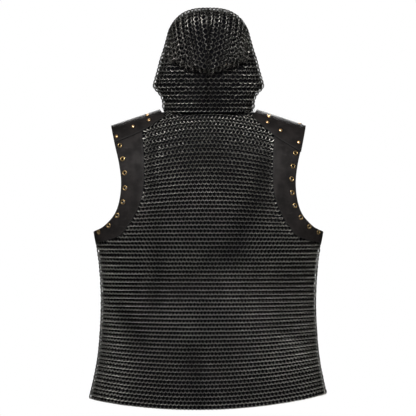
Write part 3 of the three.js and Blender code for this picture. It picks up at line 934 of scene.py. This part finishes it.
def crown_rings():
    """Rows a row's width apart along the crown's top. Their rings are a step apart, counted from
    the top, and every second row is half a step over."""
    small, step = 0.8, 1.5  # for the slopes, in millimetres
    z = np.linspace(HOOD_TOP, HOOD_CENTRE + 20, 600)
    section = np.stack([CROWN_WIDTH * dome(z), 0 * z, z], -1)
    far = np.interp(CROWN_EDGE + CROWN_SLANT, section[:, 0], along(section))
    distance = np.arange(0.5, far / CROWN_ROW) * CROWN_ROW
    edge = np.interp(distance, along(section), section[:, 0])
    found = []
    for k, x in enumerate(edge):
        line, top = crown_line(x)
        beside, beside_top = crown_line(x + small)
        length = along(line)
        length -= length[top]
        beside_length = along(beside)
        beside_length -= beside_length[beside_top]
        odd = k % 2
        first = np.ceil(length[0] / CROWN_STEP - 0.5 * odd)
        place = (np.arange(first, length[-1] / CROWN_STEP - 0.5 * odd) + 0.5 * odd) * CROWN_STEP
        spot = on_line(place, length, line)
        over = on_line(place, beside_length, beside)
        row = unit(on_line(place + step, length, line) - on_line(place - step, length, line))
        normal = outwards(unit(np.cross(row, over - spot)), spot - [0, 0, HOOD_CENTRE])
        lean = np.full(len(place), (1 - 2 * odd) * LEAN)
        inside = spot[:, 0] < CROWN_EDGE + CROWN_OVER
        parts = (spot, row, normal, lean, np.full(len(place), CROWN_HIGHLIGHT))
        found.append([part[inside] for part in parts])
    return [np.concatenate(parts) for parts in zip(*found)]


def both_hands(parts):
    """The left half's rings and their mirror image; one on the middle line is kept once."""
    point, row, normal, lean, highlight_scale = parts
    flip = np.array([-1, 1, 1])
    once = point[:, 0] > ON_MIDDLE
    return {
        "left": parts,
        "right": [
            point[once] * flip, -row[once] * flip, normal[once] * flip, lean[once], highlight_scale[once],
        ],
    }


# ---- backing cloth ----
UNDER_BAND = 0.88  # how far across the band, from the armhole, the backing's edge lies
UNDER_GAP = 0.1  # between the backing's edge and the band's under side
RISE_COLUMNS = 2  # columns over which the backing rises to it


def panel_grid(side, band_steps=54, skirt_steps=30, columns=48):
    """Rows from the neck and ridge down to the hem. Beside the bands each is a share of the way
    down to the level row at the side seams' top, and below them a share down to the hem."""
    edge = np.stack(band_spot(band_rows(band_steps), UNDER_BAND), -1)
    edge_x = body_width(edge[:, 1]) * np.sin(edge[:, 0])
    down = (ridge(edge_x) - edge[:, 1]) / (ridge(edge_x) - edge[-1, 1])
    reach = np.concatenate([edge[:, 0], np.full(skirt_steps, QUARTER)])[:, None]
    angle = reach * np.linspace(-1, 1, columns + 1)
    z = np.full(angle.shape, edge[-1, 1])
    top = band_steps + 1
    skirt = (np.arange(1, skirt_steps + 1) / skirt_steps)[:, None]
    for _ in range(SETTLE):
        x = body_width(z) * np.sin(angle)
        upper = lerp(panel_top(x[:top], side), edge[-1, 1], down[:, None])
        lower = lerp(edge[-1, 1], hem_height(x[top:]), skirt)
        z = np.concatenate([upper, lower])
    grid = body(angle, z, side)
    tucked = np.zeros(z.shape)
    from_edge = (1 - np.abs(np.linspace(-1, 1, columns + 1))) * columns / 2
    tucked[:top] = 1 - smooth(from_edge / RISE_COLUMNS)
    high = lerp(BACKING_FACE, BAND_LIFT - UNDER_GAP, tucked)[..., None]
    grid[..., 1] = np.where(np.abs(grid[..., 1]) <= ON_SEAM, 0, grid[..., 1])
    return (turned(grid), turned(high)) if side == "back" else (grid, high)


def seams(grid):
    """Where a grid's points lie in the plane between front and back, for their normals' y."""
    flat = np.zeros(grid.shape, bool)
    flat[..., 1] = np.abs(grid[..., 1]) <= ON_SEAM
    return flat


HOOD_LEVELS = np.concatenate(
    [
        np.linspace(0, 84, 22),
        np.linspace(87, 99, 8),
        np.linspace(104, 220, 20),
        HOOD_TOP - 25 * np.linspace(0.95, 0, 8) ** 2,
    ]
)


def hood_grid(columns=36):
    """Levels from the neck edge to the top, and angles from the face opening, or the middle of
    the front, round to the nape."""
    start = face_angle(HOOD_LEVELS)[:, None]
    angle = lerp(start, QUARTER, np.linspace(0, 1, columns + 1))
    grid = hood(HOOD_LEVELS[:, None], angle)[::-1]
    grid[..., 0] = np.where(grid[..., 0] <= ON_SEAM, 0, grid[..., 0])
    return grid


# ---- leather ----
def band_grid(side, rows=132, columns=20):
    t = band_rows(rows)[:, None]
    angle, z = band_spot(t, 1 - np.arange(columns + 1) / columns)
    grid = body(angle, z, side)
    return turned(grid) if side == "back" else grid


def strap_grid(hand, rows=44, columns=26):
    """Rows from the neck to the armhole; across, from the back's lower edge over the ridge to the
    front's, closer together on the ridge: share = i^2."""
    t = (np.arange(rows + 1) / rows)[:, None]
    top = lerp(STRAP_NECK, ARM_EDGE[0][0], t)
    halves = []
    for side in ("back", "front"):
        lower = np.array(strap_lower(side, hand), float)
        x = curve(list(zip(STRAP_SHARES, lower[:, 0])))(t)
        z = curve(list(zip(STRAP_SHARES, lower[:, 1])))(t)
        share = (np.arange(columns, 0, -1) / columns) ** 2
        spot_x = lerp(top, x, share)
        spot_z = np.minimum(lerp(ridge(top), z, share), ridge(spot_x))
        halves.append(body(angle_at(spot_x, spot_z), spot_z, side))
    crest = np.stack([top, 0 * top, ridge(top)], -1)
    return turned(np.concatenate([halves[0], crest, turned(halves[1])], 1))


def rim_distance(grid, used):
    """How far each point of a grid is from its nearest long edge, in millimetres."""
    across = np.linalg.norm(np.diff(grid, axis=1), axis=2)
    length = np.concatenate([np.zeros((len(grid), 1)), np.cumsum(across, axis=1)], 1)
    return np.minimum(length, length[:, -1:] - length).ravel()[used]


STITCH_REACH = 0.33  # half a stitch's length, in steps
STITCH_HALF = 0.42  # half its width, its rise over the leather and its depth in it
STITCH_RISE = 0.45
STITCH_SINK = 0.3


def stitches(name, grid, high, inset, step, material):
    """A line of stitches beside both long edges of a sheet: short bars with pointed ends, a step
    apart, lying on the outer face. A bar's section is a low arch."""
    outer = offset_grid(grid, high)
    bars = []
    for column in (inset, grid.shape[1] - 1 - inset):
        line = outer[:, column]
        inward = unit(outer[:, column + (1 if column == inset else -1)] - line)
        length = along(line)
        at = np.arange(step, length[-1] - step, step)
        shares = (-STITCH_REACH, 0, STITCH_REACH)
        ends = [on_line(at + step * share, length, line) for share in shares]
        wide = on_line(at, length, inward)
        above = offset_grid(grid, high + 1)[:, column] - line
        lift = outwards(unit(np.cross(ends[2] - ends[0], wide)), on_line(at, length, above))
        moves = (wide * STITCH_HALF, lift * STITCH_RISE, -wide * STITCH_HALF, -lift * STITCH_SINK)
        bars.append(np.stack([ends[0], *[ends[1] + move for move in moves], ends[2]], 1))
    points = np.concatenate(bars)
    cap = [(0, a, b) for a, b in ((1, 2), (2, 3), (3, 4), (4, 1))]
    cap += [(5, b, a) for _, a, b in cap]
    faces = (np.array(cap) + np.arange(len(points))[:, None, None] * 6).reshape(-1, 3)
    return add_mesh(name, points, faces, material)


def fitting_seats(names, high):
    """Where fittings stand: under the middle of each CAD node's box, on the surface, moved out."""
    feet, axes = [], []
    for name in names:
        middle = np.mean(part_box(name), axis=0) / MM
        x, y, z = middle
        side = "back" if y > 0 else "front"
        if name.startswith("rivet_ridge"):
            slope = RIDGE_SLOPE * x / np.hypot(x, RIDGE_ROUND)
            normal = unit(np.array([slope, 0, 1.0]))
            point = np.array([x, 0, z]) - normal * RIVET_HALF
        else:
            # the box's middle is lifted off the surface, so walk back down to it
            for _ in range(SETTLE):
                point, _, normal = body_frame(angle_at(x, z), z, side)
                x, _, z = middle - normal * high
            point = point + normal * high
        feet.append(point)
        axes.append(normal)
    return np.array(feet), np.array(axes)


EYELET = [
    (3.1, -2.9), (3.9, -2.9), (3.9, 0.1), (6.0, 0.1), (6.15, 0.45), (5.8, 0.95),
    (5.0, 1.35), (4.1, 1.3), (3.4, 0.9), (3.1, 0.2), (3.1, -2.9),
]
RIVET = [(0, 0), (4.5, 0), (4.6, 0.35), (4.3, 1.1), (3.5, 1.9), (2.3, 2.5), (1.1, 2.78), (0, 2.85)]


# ---- build: the mail ----
WAIST = -400  # a panel's rings are two meshes, which part at this height
for side in ("back", "front"):
    grid, high = panel_grid(side)
    backing, _ = wall(f"backing_{side}", grid, high, BACKING, SHADOW_CLOTH, flat=seams(grid))
    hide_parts(f"mail_{side}")
    parts = panel_rings(side)
    low = parts[0][:, 2] < WAIST
    for place, chosen in (("upper", ~low), ("lower", low)):
        piece = rings(f"rings_{side}_{place}", *[part[chosen] for part in parts], STEEL)

hood_parts = [np.concatenate(pair) for pair in zip(hood_side_rings(), crown_rings())]
for hand, parts in both_hands(hood_parts).items():
    grid = on_hand(hood_grid(), hand)
    backing, _ = wall(f"backing_hood_{hand}", grid, BACKING_FACE, BACKING, SHADOW_CLOTH)
    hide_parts(f"hood_{hand}")
    piece = rings(f"rings_hood_{hand}", *parts, STEEL)

# ---- build: leather, eyelets and rivets ----
EYELETS = 8  # in each band
EYELET_HOLE = 4.1  # radius of the holes in the bands
FITTING_STEPS = 20  # round an eyelet or a rivet
EDGE_ROUND = 0.45  # of the leather's edges
STITCH = 4.0  # from one stitch to the next
RIVETS = {"left": (("back", 4), ("front", 3)), "right": (("back", 4), ("ridge", 1), ("front", 3))}
for hand in ("left", "right"):
    for side in ("back", "front"):
        grid = on_hand(band_grid(side), hand)
        names = [f"eyelet_{side}_{hand}_{k}" for k in range(1, EYELETS + 1)]
        high = BAND_LIFT + LEATHER
        foot, axis = fitting_seats(names, high)
        holes = [(centre, out, EYELET_HOLE) for centre, out in zip(foot, axis)]
        name = f"armhole_band_{side}_{hand}"
        band, used = wall(name, grid, high, LEATHER, HIDE, holes, EDGE_ROUND, seams(grid))
        give(band, "edge", rim_distance(grid, used))
        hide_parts(f"band_{side}_{hand}")
        sewn = stitches(f"stitches_{side}_{hand}", grid, high, 1, STITCH, THREAD)
        points, faces = seated(*turned_shape(EYELET, FITTING_STEPS), foot, axis)
        eyelets = add_mesh(f"eyelets_{side}_{hand}", points, faces, BRASS)
        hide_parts(*names)
    grid = on_hand(strap_grid(hand), hand)
    name = f"shoulder_strap_{hand}"
    strap, used = wall(name, grid, STRAP_LIFT + LEATHER, LEATHER, HIDE, (), EDGE_ROUND)
    give(strap, "edge", rim_distance(grid, used))
    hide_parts(f"strap_{hand}")
    names = [
        f"rivet_{side}_{hand}_{k}" for side, count in RIVETS[hand] for k in range(1, count + 1)
    ]
    foot, axis = fitting_seats(names, RIVET_LIFT)
    points, faces = seated(*turned_shape(RIVET, FITTING_STEPS), foot, axis)
    rivets = welded(add_mesh(f"rivets_{hand}", points, faces, COPPER))
    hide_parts(*names)


# ---- stage ----
def area_light(name, place, aim, size, power):
    light = bpy.data.lights.new(name, "AREA")
    light.shape = "RECTANGLE"
    light.size, light.size_y = size
    light.energy = power
    lamp = put(name, light)
    lamp.location = place
    toward = unit(np.array(aim, float) - np.array(place, float))
    pitch = np.arccos(-toward[2])
    lamp.rotation_euler = (pitch, 0, np.arctan2(toward[1], toward[0]) - QUARTER)


FLOOR_RADIUS = 2.6
FLOOR_SOLID = 1.1  # the floor fades out from here to its radius


def pale_floor():
    """A pale matt disc that fades away towards its edge."""
    paint = Paint("pale floor", roughness=0.9)
    across = paint.node("ShaderNodeVectorMath", {"operation": "LENGTH"}, {0: paint.place()}, "Value")
    speckle = paint.noise(90, 2.0)
    colour = paint.mix(speckle, grey(0.68, 0.005), grey(0.74, 0.005))
    faded = across.step(FLOOR_SOLID, FLOOR_RADIUS)
    return paint.finish(base_color=colour, alpha=1 - faded)


def round_floor():
    turn = np.linspace(0, 2 * np.pi, 96, endpoint=False)
    points = np.stack([np.cos(turn), np.sin(turn), 0 * turn], -1) * FLOOR_RADIUS
    mesh = bpy.data.meshes.new("floor")
    mesh.from_pydata(points, [], [tuple(range(len(turn)))])
    mesh.materials.append(pale_floor())
    floor = put("floor", mesh)
    floor.location = (0, 0, FLOOR)
    return floor


round_floor()

# ---- lights and camera ----
CHEST = (0.0, 0.0, -0.23)
LAMP = (2.2, 1.0)  # the lamps' width and height
area_light("soft_top_back", (0.2, 3.0, 1.5), CHEST, LAMP, 175)
area_light("soft_top_front", (-0.2, -3.0, 1.5), CHEST, LAMP, 110)
SKY = 0.15  # how strongly the studio's ceiling lights the object
HORIZON = 0.015


def studio_world():
    """White where the camera sees it. It lights the object as a soft ceiling does: SKY from
    straight above, falling to HORIZON at the horizon and below."""
    world = bpy.data.worlds.new("studio")
    world.use_nodes = True
    bpy.context.scene.world = world
    nodes, links = world.node_tree.nodes, world.node_tree.links
    way = nodes.new("ShaderNodeTexCoord")
    split = nodes.new("ShaderNodeSeparateXYZ")
    links.new(way.outputs["Generated"], split.inputs[0])
    rise = nodes.new("ShaderNodeMapRange")
    rise.interpolation_type = "SMOOTHSTEP"
    for socket, value in {"From Min": 0.45, "From Max": 0.95, "To Min": HORIZON, "To Max": SKY}.items():
        rise.inputs[socket].default_value = value
    links.new(split.outputs["Z"], rise.inputs["Value"])
    sky = nodes["Background"]
    links.new(rise.outputs[0], sky.inputs["Strength"])
    seen = nodes.new("ShaderNodeBackground")
    for background in (sky, seen):
        background.inputs["Color"].default_value = (1, 1, 1, 1)
    rays = nodes.new("ShaderNodeLightPath")
    choose = nodes.new("ShaderNodeMixShader")
    links.new(rays.outputs["Is Camera Ray"], choose.inputs[0])
    links.new(sky.outputs[0], choose.inputs[1])
    links.new(seen.outputs[0], choose.inputs[2])
    links.new(choose.outputs[0], nodes["World Output"].inputs["Surface"])


studio_world()

bpy.context.scene.view_settings.view_transform = "Standard"
camera_data = bpy.data.cameras.new("camera")
VIEW_WIDTH = 0.998  # metres seen across at the garment's middle
CAMERA_DISTANCE = 8.0
camera_data.sensor_width = 36
camera_data.lens = 36 * CAMERA_DISTANCE / VIEW_WIDTH
camera_data.clip_end = 100
camera = put("camera", camera_data)
camera.location = (0.001, CAMERA_DISTANCE, -0.230)
camera.rotation_euler = (QUARTER, 0, np.pi)
bpy.context.scene.camera = camera
